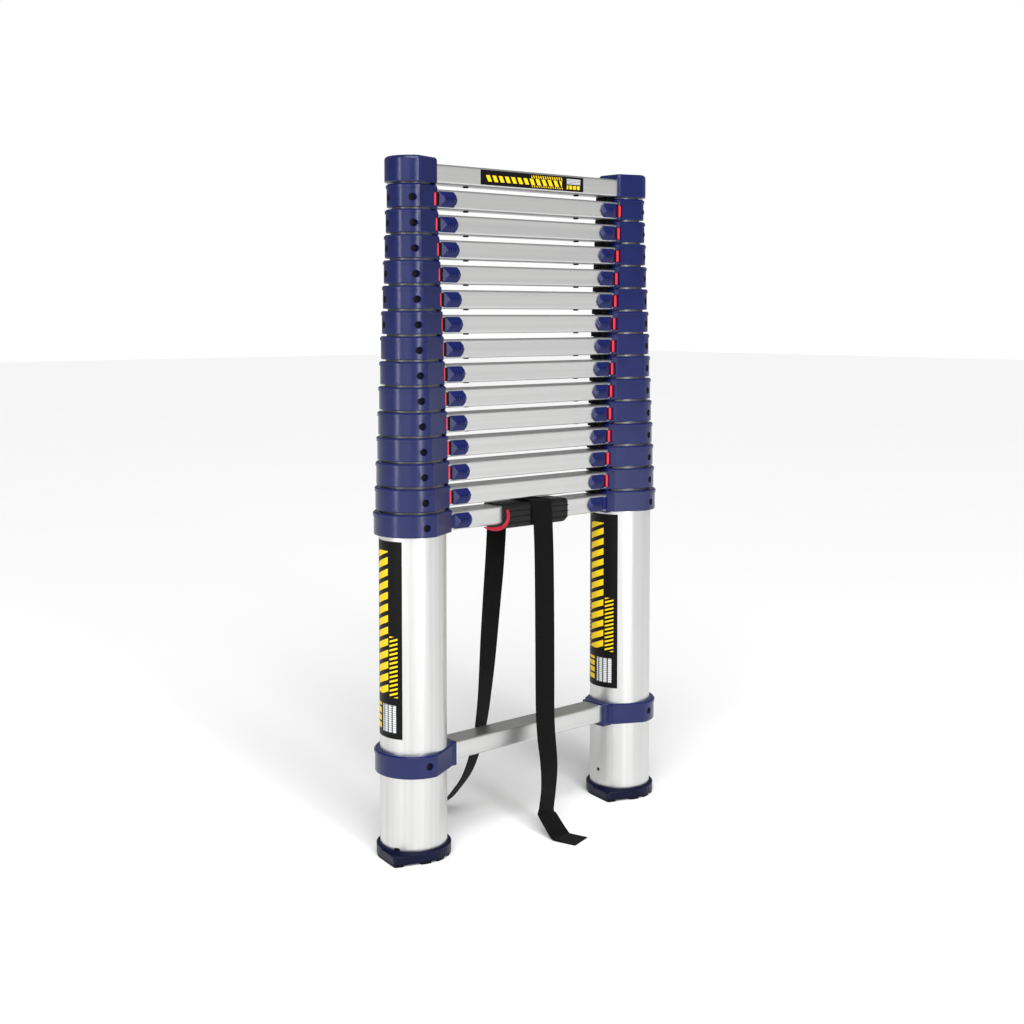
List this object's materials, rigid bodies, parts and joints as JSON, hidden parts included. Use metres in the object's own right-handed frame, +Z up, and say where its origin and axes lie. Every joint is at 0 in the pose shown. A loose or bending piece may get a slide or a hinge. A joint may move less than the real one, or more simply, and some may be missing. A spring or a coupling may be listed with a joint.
{
  "type": "telescoping ladder",
  "caption": "Collapsed telescoping ladder: nested tube sections that slide out and lock with thumb latches on hollow rungs, with collars, caps, feet and a carry strap.",
  "frame": {"origin": "on the floor, midway between the stiles and on their common plane", "axes": "+X along the rungs to the right as seen from the front, -Y the front with the latches, +Z up along the stiles"},
  "size_m": [0.4851, 0.26, 0.8993],
  "materials": {
    "rails_aluminium": "satin",
    "collar_plastic": "satin",
    "latch_plastic": "satin",
    "foot_rubber": "matte",
    "strap_webbing": "matte"
  },
  "bodies": {
    "section_01": {"rails_rung_01": "rails_aluminium", "collars_01": "collar_plastic", "feet_and_grip": "foot_rubber", "carry_strap": "strap_webbing"},
    "section_02": {"rails_rung_02": "rails_aluminium", "collars_02": "collar_plastic"},
    "section_03": {"rails_rung_03": "rails_aluminium", "collars_03": "collar_plastic"},
    "section_04": {"rails_rung_04": "rails_aluminium", "collars_04": "collar_plastic"},
    "section_05": {"rails_rung_05": "rails_aluminium", "collars_05": "collar_plastic"},
    "section_06": {"rails_rung_06": "rails_aluminium", "collars_06": "collar_plastic"},
    "section_07": {"rails_rung_07": "rails_aluminium", "collars_07": "collar_plastic"},
    "section_08": {"rails_rung_08": "rails_aluminium", "collars_08": "collar_plastic"},
    "section_09": {"rails_rung_09": "rails_aluminium", "collars_09": "collar_plastic"},
    "section_10": {"rails_rung_10": "rails_aluminium", "collars_10": "collar_plastic"},
    "section_11": {"rails_rung_11": "rails_aluminium", "collars_11": "collar_plastic"},
    "section_12": {"rails_rung_12": "rails_aluminium", "collars_12": "collar_plastic"},
    "section_13": {"rails_rung_13": "rails_aluminium", "collars_13": "collar_plastic"},
    "section_14": {"rails_rung_14": "rails_aluminium", "collars_14": "collar_plastic"},
    "section_15": {"rails_rung_15": "rails_aluminium", "caps_15": "collar_plastic"},
    "latch_left_01": {"latch_left_01": "latch_plastic"},
    "latch_right_01": {"latch_right_01": "latch_plastic"},
    "latch_left_02": {"latch_left_02": "latch_plastic"},
    "latch_right_02": {"latch_right_02": "latch_plastic"},
    "latch_left_03": {"latch_left_03": "latch_plastic"},
    "latch_right_03": {"latch_right_03": "latch_plastic"},
    "latch_left_04": {"latch_left_04": "latch_plastic"},
    "latch_right_04": {"latch_right_04": "latch_plastic"},
    "latch_left_05": {"latch_left_05": "latch_plastic"},
    "latch_right_05": {"latch_right_05": "latch_plastic"},
    "latch_left_06": {"latch_left_06": "latch_plastic"},
    "latch_right_06": {"latch_right_06": "latch_plastic"},
    "latch_left_07": {"latch_left_07": "latch_plastic"},
    "latch_right_07": {"latch_right_07": "latch_plastic"},
    "latch_left_08": {"latch_left_08": "latch_plastic"},
    "latch_right_08": {"latch_right_08": "latch_plastic"},
    "latch_left_09": {"latch_left_09": "latch_plastic"},
    "latch_right_09": {"latch_right_09": "latch_plastic"},
    "latch_left_10": {"latch_left_10": "latch_plastic"},
    "latch_right_10": {"latch_right_10": "latch_plastic"},
    "latch_left_11": {"latch_left_11": "latch_plastic"},
    "latch_right_11": {"latch_right_11": "latch_plastic"},
    "latch_left_12": {"latch_left_12": "latch_plastic"},
    "latch_right_12": {"latch_right_12": "latch_plastic"},
    "latch_left_13": {"latch_left_13": "latch_plastic"},
    "latch_right_13": {"latch_right_13": "latch_plastic"},
    "latch_left_14": {"latch_left_14": "latch_plastic"},
    "latch_right_14": {"latch_right_14": "latch_plastic"}
  },
  "joints": [
    {"name": "section_02_slide", "type": "slide", "parent": "section_01", "child": "section_02", "axis": [0, 0, 1], "range_m": [0, 0.2728]},
    {"name": "section_03_slide", "type": "slide", "parent": "section_02", "child": "section_03", "axis": [0, 0, 1], "range_m": [0, 0.2728]},
    {"name": "section_04_slide", "type": "slide", "parent": "section_03", "child": "section_04", "axis": [0, 0, 1], "range_m": [0, 0.2728]},
    {"name": "section_05_slide", "type": "slide", "parent": "section_04", "child": "section_05", "axis": [0, 0, 1], "range_m": [0, 0.2728]},
    {"name": "section_06_slide", "type": "slide", "parent": "section_05", "child": "section_06", "axis": [0, 0, 1], "range_m": [0, 0.2728]},
    {"name": "section_07_slide", "type": "slide", "parent": "section_06", "child": "section_07", "axis": [0, 0, 1], "range_m": [0, 0.2728]},
    {"name": "section_08_slide", "type": "slide", "parent": "section_07", "child": "section_08", "axis": [0, 0, 1], "range_m": [0, 0.2728]},
    {"name": "section_09_slide", "type": "slide", "parent": "section_08", "child": "section_09", "axis": [0, 0, 1], "range_m": [0, 0.2728]},
    {"name": "section_10_slide", "type": "slide", "parent": "section_09", "child": "section_10", "axis": [0, 0, 1], "range_m": [0, 0.2728]},
    {"name": "section_11_slide", "type": "slide", "parent": "section_10", "child": "section_11", "axis": [0, 0, 1], "range_m": [0, 0.2728]},
    {"name": "section_12_slide", "type": "slide", "parent": "section_11", "child": "section_12", "axis": [0, 0, 1], "range_m": [0, 0.2728]},
    {"name": "section_13_slide", "type": "slide", "parent": "section_12", "child": "section_13", "axis": [0, 0, 1], "range_m": [0, 0.2728]},
    {"name": "section_14_slide", "type": "slide", "parent": "section_13", "child": "section_14", "axis": [0, 0, 1], "range_m": [0, 0.2728]},
    {"name": "section_15_slide", "type": "slide", "parent": "section_14", "child": "section_15", "axis": [0, 0, 1], "range_m": [0, 0.2728]},
    {"name": "latch_left_01_slide", "type": "slide", "parent": "section_01", "child": "latch_left_01", "axis": [1, 0, 0], "range_m": [0, 0.004], "stiffness_N_per_m": 300, "springref_m": -0.01},
    {"name": "latch_right_01_slide", "type": "slide", "parent": "section_01", "child": "latch_right_01", "axis": [-1, 0, 0], "range_m": [0, 0.004], "stiffness_N_per_m": 300, "springref_m": -0.01},
    {"name": "latch_left_02_slide", "type": "slide", "parent": "section_02", "child": "latch_left_02", "axis": [1, 0, 0], "range_m": [0, 0.004], "stiffness_N_per_m": 300, "springref_m": -0.01},
    {"name": "latch_right_02_slide", "type": "slide", "parent": "section_02", "child": "latch_right_02", "axis": [-1, 0, 0], "range_m": [0, 0.004], "stiffness_N_per_m": 300, "springref_m": -0.01},
    {"name": "latch_left_03_slide", "type": "slide", "parent": "section_03", "child": "latch_left_03", "axis": [1, 0, 0], "range_m": [0, 0.004], "stiffness_N_per_m": 300, "springref_m": -0.01},
    {"name": "latch_right_03_slide", "type": "slide", "parent": "section_03", "child": "latch_right_03", "axis": [-1, 0, 0], "range_m": [0, 0.004], "stiffness_N_per_m": 300, "springref_m": -0.01},
    {"name": "latch_left_04_slide", "type": "slide", "parent": "section_04", "child": "latch_left_04", "axis": [1, 0, 0], "range_m": [0, 0.004], "stiffness_N_per_m": 300, "springref_m": -0.01},
    {"name": "latch_right_04_slide", "type": "slide", "parent": "section_04", "child": "latch_right_04", "axis": [-1, 0, 0], "range_m": [0, 0.004], "stiffness_N_per_m": 300, "springref_m": -0.01},
    {"name": "latch_left_05_slide", "type": "slide", "parent": "section_05", "child": "latch_left_05", "axis": [1, 0, 0], "range_m": [0, 0.004], "stiffness_N_per_m": 300, "springref_m": -0.01},
    {"name": "latch_right_05_slide", "type": "slide", "parent": "section_05", "child": "latch_right_05", "axis": [-1, 0, 0], "range_m": [0, 0.004], "stiffness_N_per_m": 300, "springref_m": -0.01},
    {"name": "latch_left_06_slide", "type": "slide", "parent": "section_06", "child": "latch_left_06", "axis": [1, 0, 0], "range_m": [0, 0.004], "stiffness_N_per_m": 300, "springref_m": -0.01},
    {"name": "latch_right_06_slide", "type": "slide", "parent": "section_06", "child": "latch_right_06", "axis": [-1, 0, 0], "range_m": [0, 0.004], "stiffness_N_per_m": 300, "springref_m": -0.01},
    {"name": "latch_left_07_slide", "type": "slide", "parent": "section_07", "child": "latch_left_07", "axis": [1, 0, 0], "range_m": [0, 0.004], "stiffness_N_per_m": 300, "springref_m": -0.01},
    {"name": "latch_right_07_slide", "type": "slide", "parent": "section_07", "child": "latch_right_07", "axis": [-1, 0, 0], "range_m": [0, 0.004], "stiffness_N_per_m": 300, "springref_m": -0.01},
    {"name": "latch_left_08_slide", "type": "slide", "parent": "section_08", "child": "latch_left_08", "axis": [1, 0, 0], "range_m": [0, 0.004], "stiffness_N_per_m": 300, "springref_m": -0.01},
    {"name": "latch_right_08_slide", "type": "slide", "parent": "section_08", "child": "latch_right_08", "axis": [-1, 0, 0], "range_m": [0, 0.004], "stiffness_N_per_m": 300, "springref_m": -0.01},
    {"name": "latch_left_09_slide", "type": "slide", "parent": "section_09", "child": "latch_left_09", "axis": [1, 0, 0], "range_m": [0, 0.004], "stiffness_N_per_m": 300, "springref_m": -0.01},
    {"name": "latch_right_09_slide", "type": "slide", "parent": "section_09", "child": "latch_right_09", "axis": [-1, 0, 0], "range_m": [0, 0.004], "stiffness_N_per_m": 300, "springref_m": -0.01},
    {"name": "latch_left_10_slide", "type": "slide", "parent": "section_10", "child": "latch_left_10", "axis": [1, 0, 0], "range_m": [0, 0.004], "stiffness_N_per_m": 300, "springref_m": -0.01},
    {"name": "latch_right_10_slide", "type": "slide", "parent": "section_10", "child": "latch_right_10", "axis": [-1, 0, 0], "range_m": [0, 0.004], "stiffness_N_per_m": 300, "springref_m": -0.01},
    {"name": "latch_left_11_slide", "type": "slide", "parent": "section_11", "child": "latch_left_11", "axis": [1, 0, 0], "range_m": [0, 0.004], "stiffness_N_per_m": 300, "springref_m": -0.01},
    {"name": "latch_right_11_slide", "type": "slide", "parent": "section_11", "child": "latch_right_11", "axis": [-1, 0, 0], "range_m": [0, 0.004], "stiffness_N_per_m": 300, "springref_m": -0.01},
    {"name": "latch_left_12_slide", "type": "slide", "parent": "section_12", "child": "latch_left_12", "axis": [1, 0, 0], "range_m": [0, 0.004], "stiffness_N_per_m": 300, "springref_m": -0.01},
    {"name": "latch_right_12_slide", "type": "slide", "parent": "section_12", "child": "latch_right_12", "axis": [-1, 0, 0], "range_m": [0, 0.004], "stiffness_N_per_m": 300, "springref_m": -0.01},
    {"name": "latch_left_13_slide", "type": "slide", "parent": "section_13", "child": "latch_left_13", "axis": [1, 0, 0], "range_m": [0, 0.004], "stiffness_N_per_m": 300, "springref_m": -0.01},
    {"name": "latch_right_13_slide", "type": "slide", "parent": "section_13", "child": "latch_right_13", "axis": [-1, 0, 0], "range_m": [0, 0.004], "stiffness_N_per_m": 300, "springref_m": -0.01},
    {"name": "latch_left_14_slide", "type": "slide", "parent": "section_14", "child": "latch_left_14", "axis": [1, 0, 0], "range_m": [0, 0.004], "stiffness_N_per_m": 300, "springref_m": -0.01},
    {"name": "latch_right_14_slide", "type": "slide", "parent": "section_14", "child": "latch_right_14", "axis": [-1, 0, 0], "range_m": [0, 0.004], "stiffness_N_per_m": 300, "springref_m": -0.01}
  ]
}
